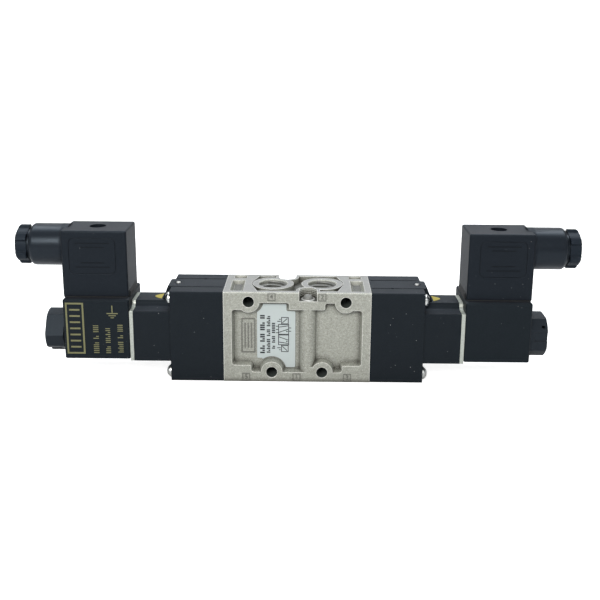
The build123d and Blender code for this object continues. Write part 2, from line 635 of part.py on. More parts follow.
def make_housing():
    wall = CONN_WALL
    housing = box(CONN_X0, CONN_X1, -CONN_HALF, CONN_HALF, CONN_Z0, CONN_Z1)
    housing = fillet(housing.edges().filter_by(Axis.Z), 1.0)
    housing = fillet(housing.edges().group_by(Axis.Z)[-1], 0.9)
    neck = rod_x(CONN_X1 - 2.0, NECK_X1, 0, NECK_Z, NECK_R)
    neck = fillet(neck.edges().group_by(Axis.X)[-1], 2.05)
    housing = housing + neck + rod_x(NECK_X1 - 1, SPIGOT_X1, 0, NECK_Z, SPIGOT_R)
    # cavity, leaving a screw boss hanging from the roof
    cavity = box(CONN_X0 + wall, CONN_X1 - wall, -CONN_HALF + wall, CONN_HALF - wall,
                 CONN_Z0 - 1, CONN_Z1 - CONN_ROOF)
    housing = housing - (cavity - rod_z(63.0, CONN_Z1, CONN_SCREW_X, 0, 5.0))
    housing = housing - rod_x(CONN_X1 - wall - 1, SPIGOT_X1 + 1, 0, NECK_Z, NECK_BORE_R)
    housing = housing + ring_x(STEP_X0, STEP_X1, NECK_Z, 4.4, NECK_BORE_R)
    housing = housing - rod_z(CONN_SEAT_Z, CONN_Z1 + 1, CONN_SCREW_X, 0, 3.8)
    housing = housing - rod_z(60, 66, CONN_SCREW_X, 0, 1.65)
    # shallow rounded outline cut into both broad faces
    for sign in (1, -1):
        plane = Plane(origin=(94.0, sign * (CONN_HALF + 0.5), 58.9),
                      x_dir=(1, 0, 0), z_dir=(0, -sign, 0))
        outline = RectangleRounded(21.6, 17.0, 2.6) - RectangleRounded(21.0, 16.4, 2.3)
        housing = housing - extrude(plane * outline, amount=0.72)
    return housing


def make_conn_gasket():
    gasket = box(CONN_X0 + 0.2, CONN_X1 - 0.2, -CONN_HALF + 0.2, CONN_HALF - 0.2,
                 COIL_Z1, CONN_Z0)
    gasket = fillet(gasket.edges().filter_by(Axis.Z), 0.7)
    gasket = gasket - box(PLINTH_X0 - 0.1, PLINTH_X1 + 0.1, -PLINTH_HALF - 0.1,
                          PLINTH_HALF + 0.1, COIL_Z1 - 1, CONN_Z0 + 1)
    # lip that turns up against the housing's end face nearest the body
    lip = prism_y([(CONN_X0 - 0.5, COIL_Z1), (CONN_X0 + 0.4, COIL_Z1), (CONN_X0 + 0.4, CONN_Z0),
                   (CONN_X0, CONN_Z0), (CONN_X0, 42.4), (CONN_X0 - 0.5, 41.3)], -8.0, 8.0)
    return gasket + lip


def make_insert():
    gap = INSERT_GAP
    insert = box(CONN_X0 + gap, CONN_X1 - gap, -CONN_HALF + gap, CONN_HALF - gap,
                 INSERT_Z0, INSERT_Z1)
    insert = insert - box(CONN_X0, CONN_X0 + 5, -3, 3, 48, 60)
    insert = insert - rod_z(40, 60, CONN_SCREW_X, 0, 1.8)
    for slot in blade_boxes(41, 50, half_width=3.3, half_thick=0.5):
        insert = insert - slot
    return insert


def make_conn_screw():
    screw = rod_z(36.0, CONN_SEAT_Z, CONN_SCREW_X, 0, 1.48)
    screw = screw + rod_z(CONN_SEAT_Z, 67.8, CONN_SCREW_X, 0, 2.9)
    return screw - box(CONN_SCREW_X - 4, CONN_SCREW_X + 4, -0.4, 0.4, 66.8, 69)


put_each("connector_housing", make_housing())
put_each("connector_gasket", make_conn_gasket())
put_each("connector_insert", make_insert())
put_together("connector_screws", make_conn_screw())


# ---- cable gland --------------------------------------------------------
GLAND_X0, GLAND_X1, GLAND_R = 125.1, 130.3, 9.15
GLAND_VALLEY_R = 7.95
GLAND_TURN = {1: 23.5, -1: 34.3}     # resting angle of each gland nut
GLAND_MAX_R = GLAND_R + 0.04
GLAND_WALL_X = GLAND_X1 - 1.6        # inside of the nut's end wall
CABLE_R = 3.6
WASHER_X0 = 126.6
# rib section: degrees from the rib's middle, radius
RIB = [(-10, GLAND_R), (-5, GLAND_R + 0.06), (5, GLAND_R + 0.06), (10, GLAND_R),
       (14.5, GLAND_VALLEY_R - 0.7), (-14.5, GLAND_VALLEY_R - 0.7)]


def make_gland_nut(turn):
    """Six-ribbed cap nut."""
    nut = rod_x(GLAND_X0, GLAND_X1, 0, NECK_Z, GLAND_VALLEY_R)
    for k in range(6):
        points = []
        for degrees, radius in RIB:
            angle = math.radians(60 * k + turn + degrees)
            points.append((radius * math.cos(angle), NECK_Z + radius * math.sin(angle)))
        nut = nut + prism_x(points, GLAND_X0, GLAND_X1)
    # envelope that chamfers both ends of the ribs
    x0, x1 = GLAND_X0 + 0.35, GLAND_X1 - 0.8
    envelope = rod_x(x0, x1, 0, NECK_Z, GLAND_MAX_R)
    envelope = envelope + cone_x(GLAND_X0, x0, 0, NECK_Z, GLAND_R - 0.3, GLAND_MAX_R)
    envelope = envelope + cone_x(x1, GLAND_X1, 0, NECK_Z, GLAND_MAX_R, GLAND_R - 0.85)
    nut = nut & envelope
    nut = nut - rod_x(GLAND_X0 - 1, GLAND_WALL_X, 0, NECK_Z, SPIGOT_R + 0.05)
    nut = nut - rod_x(GLAND_X0 - 1, GLAND_X1 + 1, 0, NECK_Z, 4.5)
    return nut + ring_x(SPIGOT_X1, GLAND_WALL_X, NECK_Z, 4.5, 5.8)


for sign, end in SIDES:
    put(f"gland_nut_{end}", side(make_gland_nut(GLAND_TURN[sign]), sign))
put_each("gland_grommet", ring_x(STEP_X1, WASHER_X0, NECK_Z, CABLE_R, NECK_BORE_R - 0.02))
put_each("gland_washer", ring_x(WASHER_X0, SPIGOT_X1, NECK_Z, 3.9, NECK_BORE_R - 0.08))


# ---- manual override ----------------------------------------------------
PIN_R = 1.0
PIN_TOP = CAP_Z1 + 0.4   # at rest
SHOULDER_Z0, SHOULDER_Z1 = 39.4, 41.15
RING_Z0, RING_Z1, RING_RI = 39.9, 40.6, 1.35     # O-ring in the shoulder


def collar(z0, z1, inner, outer):
    return rod_z(z0, z1, OVERRIDE_X, 0, outer) - rod_z(z0, z1, OVERRIDE_X, 0, inner)


def make_override():
    pin = rod_z(41.0, PIN_TOP, OVERRIDE_X, 0, PIN_R)
    pin = chamfer(pin.edges().group_by(Axis.Z)[-1], 0.15)
    pin = pin - rod_z(PIN_TOP - 0.5, PIN_TOP + 1, OVERRIDE_X, 0, 0.5)
    pin = pin + rod_z(SHOULDER_Z0, SHOULDER_Z1, OVERRIDE_X, 0, 1.9)
    pin = pin + rod_z(35.0, SHOULDER_Z0, OVERRIDE_X, 0, 0.9)
    return pin - collar(RING_Z0, RING_Z1, RING_RI, 2.2)


override_spring = helix_spring(length=SHOULDER_Z0 - OVERRIDE_BORE_Z, radius=1.45, wire=0.24,
                               turns=5)
put_each("override_pin", make_override())
put_each("override_oring", collar(RING_Z0, RING_Z1, RING_RI, 1.97))
put_each("override_spring", Pos(OVERRIDE_X, 0, OVERRIDE_BORE_Z) * override_spring)
put_together("override_bushes", collar(SHOULDER_Z1, 43.35, PIN_R + 0.05, OVERRIDE_BORE_R))
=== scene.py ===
"""Five-port, two-position solenoid valve: its looks, stage, lights and camera.

The valve lies along X, with a coil and connector at each end. Front is -Y and up is +Z;
the valve body is centred on x = 0. Ports 4 and 2 open upwards, ports 5, 1 and 3 downwards.
Lengths of the product are in millimetres; those of the stage and lights are in metres.
"""
import json
import math
import random
from functools import cached_property

import bpy
import bmesh
from mathutils import Matrix, Vector


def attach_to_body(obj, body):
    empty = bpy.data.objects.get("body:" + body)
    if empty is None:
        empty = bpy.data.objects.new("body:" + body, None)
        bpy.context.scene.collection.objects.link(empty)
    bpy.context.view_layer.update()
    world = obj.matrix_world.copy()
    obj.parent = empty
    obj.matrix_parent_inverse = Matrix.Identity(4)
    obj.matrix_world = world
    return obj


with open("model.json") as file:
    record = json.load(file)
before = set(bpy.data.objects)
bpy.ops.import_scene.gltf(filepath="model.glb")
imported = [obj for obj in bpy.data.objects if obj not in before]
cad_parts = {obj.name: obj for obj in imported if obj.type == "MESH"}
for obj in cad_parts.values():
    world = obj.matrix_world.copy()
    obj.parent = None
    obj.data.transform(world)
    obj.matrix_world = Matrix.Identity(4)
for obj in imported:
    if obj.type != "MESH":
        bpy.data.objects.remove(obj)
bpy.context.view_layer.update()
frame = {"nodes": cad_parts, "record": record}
NODES = frame["nodes"]
MM = 0.001
FRONT, BACK = -1, 1
scene = bpy.context.scene


# --------------------------------------------------------------- shader helpers
class Tree:
    """A node tree with short ways to add nodes; each way returns an output socket."""

    def __init__(self, tree):
        self.tree = tree

    def feed(self, socket, value):
        """Links a socket, or sets a plain value; colours get an alpha of 1."""
        if isinstance(value, bpy.types.NodeSocket):
            self.tree.links.new(value, socket)
        elif isinstance(value, tuple) and len(socket.default_value) == 4:
            socket.default_value = (*value, 1.0)
        else:
            socket.default_value = value

    def node(self, kind, inputs=None, **settings):
        new = self.tree.nodes.new(kind)
        for name, value in settings.items():
            setattr(new, name, value)
        for key, value in (inputs or {}).items():
            self.feed(new.inputs[key], value)
        return new

    def math(self, operation, a, b=0.0):
        return self.node("ShaderNodeMath", {0: a, 1: b}, operation=operation).outputs[0]

    def add(self, a, b):
        return self.math("ADD", a, b)

    def multiply(self, a, b):
        return self.math("MULTIPLY", a, b)

    def mix_color(self, amount, a, b):
        return self.node("ShaderNodeMix", {0: amount, 6: a, 7: b},
                         data_type="RGBA", blend_type="MIX").outputs[2]

    def mix_value(self, amount, a, b):
        return self.node("ShaderNodeMix", {0: amount, 2: a, 3: b}, data_type="FLOAT").outputs[0]

    def span(self, value, start, end, low=0.0, high=1.0):
        """low at start, high at end, held beyond both; end may be the smaller one."""
        return self.node("ShaderNodeMapRange", {
            "Value": value, "From Min": start, "From Max": end, "To Min": low, "To Max": high,
        }, clamp=True).outputs[0]

    def split(self, vector):
        return self.node("ShaderNodeSeparateXYZ", {0: vector}).outputs

    def ramp(self, value, stops):
        result = self.node("ShaderNodeValToRGB", {"Fac": value})
        elements = result.color_ramp.elements
        while len(elements) < len(stops):
            elements.new(0.5)
        for i, (position, color) in enumerate(stops):
            elements[i].position = position
            elements[i].color = (*color, 1)
        return result.outputs["Color"]

    def camera_ray(self):
        return self.node("ShaderNodeLightPath").outputs["Is Camera Ray"]


class Surface(Tree):
    """A procedural material in object coordinates measured in millimetres."""

    def __init__(self, name):
        self.material = bpy.data.materials.new(name)
        self.material.use_nodes = True
        super().__init__(self.material.node_tree)
        self.tree.nodes.clear()
        output = self.node("ShaderNodeOutputMaterial")
        self.shader = self.node("ShaderNodeBsdfPrincipled")
        self.feed(output.inputs[0], self.shader.outputs[0])
        coordinates = self.node("ShaderNodeTexCoord").outputs["Object"]
        self.mm = self.node("ShaderNodeVectorMath", {0: coordinates, "Scale": 1000.0},
                            operation="SCALE").outputs[0]

    @cached_property
    def true_normal(self):
        return self.node("ShaderNodeNewGeometry").outputs["True Normal"]

    def noise(self, size, detail=3.0, rough=0.55, stretch=None, off=0.0):
        """Noise with features of the given size; off moves it to a fresh place."""
        vector = self.mm
        if stretch or off:
            vector = self.node("ShaderNodeMapping", {
                "Vector": vector, "Scale": stretch or (1, 1, 1),
                "Location": (off, off * 1.7, off * 0.6)}).outputs[0]
        return self.node("ShaderNodeTexNoise", {
            "Vector": vector, "Scale": 1.0 / size, "Detail": detail,
            "Roughness": rough}).outputs["Fac"]

    def cells(self, size):
        return self.node("ShaderNodeTexVoronoi", {"Vector": self.mm, "Scale": 1.0 / size},
                         feature="F1").outputs["Distance"]

    def soft(self, radius):
        """Normal that rounds the edges."""
        return self.node("ShaderNodeBevel", {"Radius": radius * MM}, samples=6).outputs[0]

    def edge(self, radius, start, end):
        """About 1 on outside edges and in creases, 0 on flats."""
        alignment = self.node("ShaderNodeVectorMath", {0: self.soft(radius), 1: self.true_normal},
                              operation="DOT_PRODUCT").outputs["Value"]
        return self.span(self.math("SUBTRACT", 1.0, alignment), start, end)

    def openness(self, reach, samples):
        return self.node("ShaderNodeAmbientOcclusion", {"Distance": reach * MM},
                         samples=samples).outputs["AO"]

    def crevice(self, reach, start, end, samples):
        """About 1 in inside corners and narrow gaps, 0 on open faces."""
        return self.span(self.openness(reach, samples), start, end)

    def rim(self, radius):
        """About 1 on outside edges only: an edge that nothing stands over."""
        free = self.span(self.openness(reach=1.3, samples=6), start=0.72, end=0.96)
        return self.multiply(self.edge(radius, start=0.01, end=0.14), free)

    def bump(self, height, depth, strength=1.0, normal=None):
        inputs = {"Height": height, "Distance": depth * MM, "Strength": strength}
        if normal is not None:
            inputs["Normal"] = normal
        return self.node("ShaderNodeBump", inputs).outputs[0]

    def up(self):
        """0 on walls, 1 on faces that look up."""
        return self.span(self.split(self.true_normal)[2], start=0.75, end=0.95)

    def z(self):
        return self.split(self.mm)[2]

    def finish(self, **inputs):
        """Feeds the shader, with _ for each space in an input's name."""
        for name, value in inputs.items():
            self.feed(self.shader.inputs[name.replace("_", " ")], value)
        return self.material


def srgb(*channels):
    """Linear colour from 0-255 channels."""
    def linear(value):
        value /= 255
        return value / 12.92 if value <= 0.04045 else ((value + 0.055) / 1.055) ** 2.4
    return tuple(linear(value) for value in channels)


def scaled(color, factor, lift=0.0):
    return tuple(value * factor + lift for value in color)


# --------------------------------------------------------------- materials
CROSS_HOLES = ((22.4, 38.9), (11.7, 4.75))  # |x|, z of the holes that run along Y


def cross_hole_walls(m):
    """About 1 on the walls of the cross holes, 0 elsewhere."""
    x, y, z = m.split(m.mm)
    side = m.math("ABSOLUTE", x)
    depth = m.math("ABSOLUTE", y)
    wall = 0.0
    for hole_x, hole_z in CROSS_HOLES:
        dx = m.math("SUBTRACT", side, hole_x)
        dz = m.math("SUBTRACT", z, hole_z)
        radius = m.math("SQRT", m.add(m.multiply(dx, dx), m.multiply(dz, dz)))
        wall = m.math("MAXIMUM", wall, m.span(radius, start=2.75, end=2.62))
    return m.multiply(wall, m.span(depth, start=14.8, end=14.0))


def cast_metal(name, shade):
    """Shot-blasted zinc casting: bright grains in a grey skin, painted shade in the corners,
    on the recess floors and on the walls of the cross holes, painted highlights on the rims
    and a milled top."""
    m = Surface(name)
    fine = m.noise(size=0.30, rough=0.70)
    medium = m.noise(size=0.80, rough=0.6, off=11.0)
    broad = m.noise(size=9.0, detail=2.0, rough=0.5, off=5.0)
    grain = m.add(m.multiply(fine, 0.65), m.multiply(medium, 0.35))

    # (grain value, colour before shading), from the pits to the bright grains
    grain_colors = (
        (0.30, (0.115, 0.115, 0.098)), (0.44, (0.262, 0.265, 0.232)),
        (0.55, (0.352, 0.356, 0.318)), (0.64, (0.58, 0.585, 0.53)),
        (0.72, (0.86, 0.86, 0.80)))
    color = m.ramp(grain, [(at, scaled(tone, shade)) for at, tone in grain_colors])
    color = m.mix_color(m.multiply(broad, 0.28), color, scaled((0.300, 0.302, 0.258), shade))

    milling = m.noise(size=0.5, detail=2.0, rough=0.5, stretch=(0.06, 1.6, 1.0), off=3.0)
    milled = m.mix_color(milling, (0.25, 0.252, 0.246), (0.37, 0.372, 0.364))
    milled = m.mix_color(m.span(grain, start=0.42, end=0.66), milled, (0.44, 0.44, 0.42))
    up = m.up()
    top_height = m.span(m.z(), start=42.4, end=43.2)
    upper_height = m.span(m.z(), start=38.0, end=39.0)
    top_face = m.multiply(up, top_height)
    upper_faces = m.multiply(up, upper_height)
    # painted shade: faces that look up, from z 38 mm to below the milled top (recess, pocket and
    # seat floors), are darkened
    recess_shade = m.mix_color(0.72, color, (0.105, 0.107, 0.108))
    color = m.mix_color(upper_faces, color, recess_shade)
    color = m.mix_color(top_face, color, milled)

    # painted shade in the corners
    corners = m.crevice(reach=3.0, start=0.93, end=0.55, samples=8)
    color = m.mix_color(m.multiply(corners, 0.82), color, (0.050, 0.047, 0.036))
    # painted shade on the walls of the cross holes, which are also made rough and dull
    shaded_hole_walls = cross_hole_walls(m)
    color = m.mix_color(m.multiply(shaded_hole_walls, 0.93), color, (0.046, 0.058, 0.055))
    # painted highlight along the outside edges
    rim_highlight = m.rim(radius=0.55)
    color = m.mix_color(m.multiply(rim_highlight, 0.9), color, scaled((0.95, 0.95, 0.88), shade))

    rough = m.mix_value(top_face, m.mix_value(grain, 0.62, 0.40), 0.42)
    rough = m.mix_value(shaded_hole_walls, rough, 0.9)
    rounded = m.soft(radius=0.25)
    blasted_normal = m.bump(grain, depth=0.16, strength=1.0, normal=rounded)
    milled_normal = m.bump(milling, depth=0.02, strength=0.5, normal=rounded)
    normal = m.node("ShaderNodeMix", {0: top_face, 4: blasted_normal, 5: milled_normal},
                    data_type="VECTOR").outputs[1]
    return m.finish(Base_Color=color, Metallic=m.mix_value(shaded_hole_walls, 0.40, 0.0), Roughness=rough,
                    Normal=normal, Specular_IOR_Level=m.mix_value(shaded_hole_walls, 0.4, 0.1))


def machined_metal(name, base, rough=0.3, metallic=1.0, stretch=(1, 1, 1), size=0.4,
                   contrast=0.15):
    """Bare metal: tool marks of the given size and stretch under patches of smut."""
    m = Surface(name)
    marks = m.noise(size=size, rough=0.6, stretch=stretch)
    dark = scaled(base, 1 - contrast)
    light = tuple(min(1, value * (1 + contrast)) for value in base)
    color = m.ramp(marks, [(0.3, dark), (0.7, light)])
    smut = m.noise(size=3.0, detail=2.0, rough=0.5, off=7.0)
    color = m.mix_color(m.multiply(smut, 0.25), color, scaled(base, 0.6))
    return m.finish(
        Base_Color=color, Metallic=metallic,
        Roughness=m.mix_value(smut, rough * 0.8, rough * 1.35),
        Normal=m.bump(marks, depth=0.015, strength=0.5, normal=m.soft(radius=0.12)))


def moulded(name, base, rough=0.5, grain=0.35, depth=0.02, edge_wear=0.25, spec=0.5,
            dust=0.10, radius=0.35, satin_from=None):
    """Moulded plastic: fine spark-eroded grain, faint flow clouding, polished and slightly
    greyed edges, a few dust specks, a painted sheen on the faces that look up and painted
    shade in the corners. Beyond |x| = satin_from it is smoother."""
    m = Surface(name)
    bumps = m.noise(size=grain, rough=0.6)
    clouds = m.noise(size=9.0, off=21.0)
    light = scaled(base, 1.5, lift=0.004)
    color = m.mix_color(m.multiply(clouds, 0.25), base, light)
    peaks = m.span(bumps, start=0.40, end=0.66)
    color = m.mix_color(m.multiply(peaks, 0.42), color, light)

    specks = m.span(m.cells(size=2.6), start=0.085, end=0.03)
    patches = m.span(m.noise(size=6.0, detail=2.0, rough=0.5, off=40.0), start=0.52, end=0.62)
    specks = m.multiply(specks, patches)
    color = m.mix_color(m.multiply(specks, dust), color, (0.5, 0.5, 0.5))
    # painted sheen of light from above on the faces that look up, uneven with the clouding
    top_sheen = m.multiply(m.up(), m.mix_value(clouds, 0.16, 0.38))
    color = m.mix_color(top_sheen, color, (0.066, 0.074, 0.088))

    edges = m.edge(radius, start=0.02, end=0.28)
    color = m.mix_color(m.multiply(edges, edge_wear), color, scaled(base, 3.0, lift=0.02))
    # painted shade in the inside corners and narrow gaps
    corners = m.crevice(reach=2.0, start=0.85, end=0.3, samples=6)
    color = m.mix_color(m.multiply(corners, 0.7), color, scaled(base, 0.3))

    roughness = m.mix_value(bumps, rough * 0.9, rough * 1.12)
    roughness = m.mix_value(m.multiply(edges, 0.5), roughness, rough * 0.8)
    if satin_from:
        # the turned neck and what lies beyond it are smoother than the flat walls
        distance = m.math("ABSOLUTE", m.split(m.mm)[0])
        satin = m.span(distance, start=satin_from, end=satin_from + 0.8)
        roughness = m.mix_value(satin, roughness, m.multiply(roughness, 0.62))
        spec = m.mix_value(satin, spec, 0.36)
    return m.finish(
        Base_Color=color, Roughness=roughness, Specular_IOR_Level=spec,
        Specular_Tint=(0.72, 0.86, 1.0),
        Normal=m.bump(bumps, depth=depth * 1.6, strength=0.8, normal=m.soft(radius * 0.8)))


def rubber():
    m = Surface("nitrile_rubber")
    grain = m.noise(size=0.3, rough=0.6)
    clouds = m.noise(size=4.0, detail=2.0, rough=0.5, off=3.0)
    color = m.mix_color(m.multiply(clouds, 0.5), (0.010, 0.010, 0.011), (0.030, 0.030, 0.032))
    return m.finish(Base_Color=color, Roughness=m.mix_value(grain, 0.6, 0.8),
                    Normal=m.bump(grain, depth=0.02, strength=0.6))


def label_film():
    m = Surface("label_film")
    waves = m.noise(size=2.2, rough=0.6)
    grain = m.noise(size=0.3, detail=2.0, rough=0.5, off=2.0)
    color = m.mix_color(m.multiply(waves, 0.35), srgb(188, 196, 195), srgb(174, 184, 183))
    height = m.add(waves, m.multiply(grain, 0.2))
    return m.finish(Base_Color=color, Roughness=m.mix_value(waves, 0.34, 0.48),
                    Normal=m.bump(height, depth=0.03, strength=0.35))


def ink(name, base, rough=0.5, wear=0.35):
    """Screen print: even colour with slightly thin, broken patches."""
    m = Surface(name)
    grain = m.noise(size=0.45, rough=0.65)
    patches = m.noise(size=3.0, detail=2.0, rough=0.5, off=9.0)
    thin = m.multiply(m.multiply(grain, patches), wear)
    color = m.mix_color(thin, base, scaled(base, 0.45))
    return m.finish(Base_Color=color, Roughness=m.mix_value(grain, rough * 0.85, rough * 1.15),
                    Normal=m.bump(grain, depth=0.01, strength=0.4))


MATERIALS = {
    "cast": cast_metal("cast_shot_blasted", shade=1.22),
    # a dark copy of the casting: painted shade for the raised cast marks
    "cast_shade_line": cast_metal("cast_mark_painted_shade", shade=0.34),
    "cap": moulded("cap_nylon", srgb(19, 23, 27), rough=0.58, grain=0.40, depth=0.030,
                   spec=0.20, dust=0.75, radius=0.45),
    "coil": moulded("coil_epoxy", srgb(17, 22, 26), rough=0.55, depth=0.022,
                    spec=0.20, dust=0.35, radius=0.5),
    "nut": moulded("nut_nylon", srgb(24, 28, 33), grain=0.30, depth=0.018,
                   spec=0.30, radius=0.4),
    "gland": moulded("gland_nylon", srgb(17, 23, 31), grain=0.30, depth=0.018,
                     spec=0.26, radius=0.4),
    "conn": moulded("connector_nylon", srgb(16, 20, 26), rough=0.48, depth=0.018,
                    spec=0.23, dust=0.30, radius=0.45, satin_from=109.2),
    # a dark copy of the connector plastic: painted shade for the connector bars
    "conn_shade_line": moulded("connector_painted_shade_line", srgb(10, 13, 17), rough=0.62, depth=0.018,
                         spec=0.2, dust=0.0, radius=0.2, edge_wear=0.1),
    "ball": machined_metal("pressed_ball", (0.25, 0.25, 0.235), rough=0.62, metallic=0.5,
                           contrast=0.30),
    "lip": machined_metal("staked_lip", (0.80, 0.80, 0.76), rough=0.38, metallic=0.6,
                          contrast=0.12),
    "pin": machined_metal("override_pin", (0.86, 0.86, 0.84), rough=0.40, metallic=0.8,
                          size=0.5, contrast=0.08),
    "zinc": machined_metal("zinc_plate", (0.555, 0.585, 0.53), rough=0.42, metallic=0.75,
                           size=0.9, contrast=0.12),
    "screw": machined_metal("zinc_screw", (0.80, 0.81, 0.79), rough=0.22, size=0.6,
                            contrast=0.10),
    "steel": machined_metal("ground_steel", (0.58, 0.58, 0.58), rough=0.28,
                            stretch=(6, 0.3, 0.3)),
    "spring": machined_metal("spring_wire", (0.42, 0.42, 0.43), rough=0.35),
    "alu": machined_metal("turned_aluminium", (0.74, 0.74, 0.75), rough=0.25,
                          stretch=(8, 0.2, 0.2)),
    "thread": machined_metal("cut_thread", (0.30, 0.300, 0.285), rough=0.46, metallic=0.75,
                             size=0.7, contrast=0.25),
    "brass": machined_metal("turned_brass", (0.72, 0.53, 0.24)),
    "tin": machined_metal("tinned_blade", (0.70, 0.68, 0.62), rough=0.35),
    "copper": machined_metal("enamelled_copper", (0.55, 0.22, 0.09), metallic=0.9,
                             stretch=(3.0, 0.1, 0.1)),
    "bobbin": moulded("bobbin_nylon", (0.020, 0.020, 0.022), grain=0.4),
    "piston": moulded("piston_acetal", (0.10, 0.10, 0.10), rough=0.45, grain=0.4),
    "rubber": rubber(),
    "label": label_film(),
    "ink_dark": ink("label_ink", (0.022, 0.024, 0.028)),
    "ink_olive": ink("coil_print", srgb(120, 119, 82), rough=0.6, wear=0.6),
    "yellow": ink("mark_yellow", srgb(176, 161, 60), wear=0.25),
}

SLOT_MATERIALS = {
    "cast_body": "cast", "cap_plastic": "cap", "coil_plastic": "coil",
    "connector_plastic": "conn", "zinc_plate": "zinc", "zinc_screw": "screw",
    "machined_steel": "steel", "spool_aluminium": "alu", "piston_plastic": "piston",
    "seal_rubber": "rubber", "brass": "brass", "tinned": "tin", "copper_wire": "copper",
    "bobbin_plastic": "bobbin", "spring_steel": "spring", "label_film": "label",
    "mark_yellow": "yellow"}


def material_key(node_name, slot):
    """The slot's material, but for a few pieces with their own."""
    if node_name.startswith("coil_nut_") and not node_name.endswith("seals"):
        return "nut"
    if node_name == "plug_balls":
        return "ball"
    if node_name.startswith("override_pin"):
        return "pin"
    if node_name.startswith("gland_nut"):
        return "gland"
    return SLOT_MATERIALS[slot]


for subpart in frame["record"]["subparts"]:
    slots = NODES[subpart["node"]].data.materials
    slots.clear()
    slots.append(MATERIALS[material_key(subpart["node"], subpart["material_slot"])])


# --------------------------------------------------------------- rounded CAD edges
def soften(name, width):
    """Rounds the edges of a CAD node with modifiers only."""
    modifiers = NODES[name].modifiers
    weld = modifiers.new("weld", "WELD")
    weld.merge_threshold = 3e-6
    planar = modifiers.new("planar", "DECIMATE")
    planar.decimate_type = "DISSOLVE"
    planar.angle_limit = math.radians(0.4)
    bevel = modifiers.new("round", "BEVEL")
    bevel.width = width * MM
    bevel.segments = 2
    bevel.limit_method = "ANGLE"
    bevel.angle_limit = math.radians(28)
    bevel.miter_outer = "MITER_ARC"
    bevel.use_clamp_overlap = True
    normals = modifiers.new("normals", "WEIGHTED_NORMAL")
    normals.keep_sharp = False
    normals.weight = 80


# piece, edge width
SIDE_EDGES = (
    ("coil", 0.25), ("connector_housing", 0.2), ("end_cap", 0.3), ("pilot_block", 0.25),
    ("coil_nut", 0.35), ("gland_nut", 0.25), ("yoke_plate", 0.2))
for side in ("left", "right"):
    for piece, width in SIDE_EDGES:
        soften(f"{piece}_{side}", width)
soften("valve_body", 0.3)


# --------------------------------------------------------------- mesh helpers
def attach(part):
    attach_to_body(part, "valve")


def add_part(name, points, faces, material, smooth=False):
    """Adds a piece that moves with the valve; points are in millimetres."""
    mesh = bpy.data.meshes.new(name)
    mesh.from_pydata([tuple(Vector(point) * MM) for point in points], [], faces)
    mesh.validate()
    bm = bmesh.new()
    bm.from_mesh(mesh)
    bmesh.ops.recalc_face_normals(bm, faces=bm.faces)
    bm.to_mesh(mesh)
    bm.free()
    if smooth:
        mesh.polygons.foreach_set("use_smooth", [True] * len(mesh.polygons))
    mesh.materials.append(MATERIALS[material])
    part = bpy.data.objects.new(name, mesh)
    scene.collection.objects.link(part)
    attach(part)


def sweep_faces(spans, count, closed=False):
    """Faces of a section of count points carried over spans; capped unless closed."""
    stations = spans if closed else spans + 1
    faces = []
    for i in range(spans):
        here, there = i * count, (i + 1) % stations * count
        for j in range(count):
            k = (j + 1) % count
            faces.append((here + j, here + k, there + k, there + j))
    if not closed:
        faces.append(tuple(range(count)))
        faces.append(tuple(spans * count + j for j in reversed(range(count))))
    return faces


class Marks:
    """Thin raised marks on a flat face that looks to the front or back.

    Mark coordinates: u runs across, to the right as the face is looked at; v runs up.
    """

    SINK = 0.05  # how far the marks are buried

    def __init__(self, origin, facing, height):
        self.origin = Vector(origin)
        self.across = Vector((-facing, 0, 0))
        self.up = Vector((0, 0, 1))
        self.out = self.across.cross(self.up)
        self.height = height
        self.points, self.faces = [], []

    def polygon(self, outline):
        base = len(self.points)
        count = len(outline)
        for out in (-self.SINK, self.height):
            for u, v in outline:
                self.points.append(
                    self.origin + self.across * u + self.up * v + self.out * out)
        self.faces.append(tuple(base + i for i in reversed(range(count))))
        self.faces.append(tuple(base + count + i for i in range(count)))
        for i in range(count):
            j = (i + 1) % count
            self.faces.append((base + i, base + j, base + count + j, base + count + i))

    def rect(self, u0, u1, v0, v1):
        self.polygon([(u0, v0), (u1, v0), (u1, v1), (u0, v1)])

    def line(self, start, end, width):
        """Straight stroke that runs half its width past both ends."""
        start, end = Vector(start), Vector(end)
        along = (end - start).normalized()
        side = Vector((-along.y, along.x)) * (width / 2)
        extra = along * (width / 2)
        self.polygon([tuple(start - extra - side), tuple(end + extra - side),
                      tuple(end + extra + side), tuple(start - extra + side)])

    def frame(self, u0, u1, v0, v1, width):
        """Mitred rectangular outline; the sizes are those of its centre line."""
        def corners(grow):
            return [(u0 - grow, v0 - grow), (u1 + grow, v0 - grow),
                    (u1 + grow, v1 + grow), (u0 - grow, v1 + grow)]
        outer, inner = corners(width / 2), corners(-width / 2)
        for i in range(4):
            j = (i + 1) % 4
            self.polygon([outer[i], outer[j], inner[j], inner[i]])

    def stroke_column(self, u0, u1, v0, v1, pitch, width, seed, gaps=()):
        """Plain parallel strokes lying across a column, some of them shorter; none meet."""
        draw = random.Random(seed)
        v = v0
        row = 0
        while v + pitch * 0.8 < v1:
            if row in gaps:
                v += pitch * 0.7
            else:
                short = draw.choice((0.0, 0.0, 0.25, 0.5)) * (u1 - u0)
                self.rect(u0, u1, v, v + width)
                self.rect(u0 + short, u1, v + pitch * 0.5, v + pitch * 0.5 + width)
                v += pitch
            row += 1

    def build(self, name, material):
        add_part(name, self.points, self.faces, material)


# --------------------------------------------------------------- port threads
PORT_PITCH = 11.6       # between neighbouring port axes along X
THREAD_LENGTH = 9.8
THREAD_PITCH = 1.337
THREAD_ROOT = 6.57      # radius at the back wall
THREAD_CREST = 5.80     # radius at the inner edge
THREAD_STEPS = 48       # per turn
TOP_START, BOTTOM_START = 33.2, 0.6

# port, place in port pitches, lower end of the thread
PORTS = ((4, -1, TOP_START), (2, 1, TOP_START),
         (1, 0, BOTTOM_START), (5, -2, BOTTOM_START), (3, 2, BOTTOM_START))


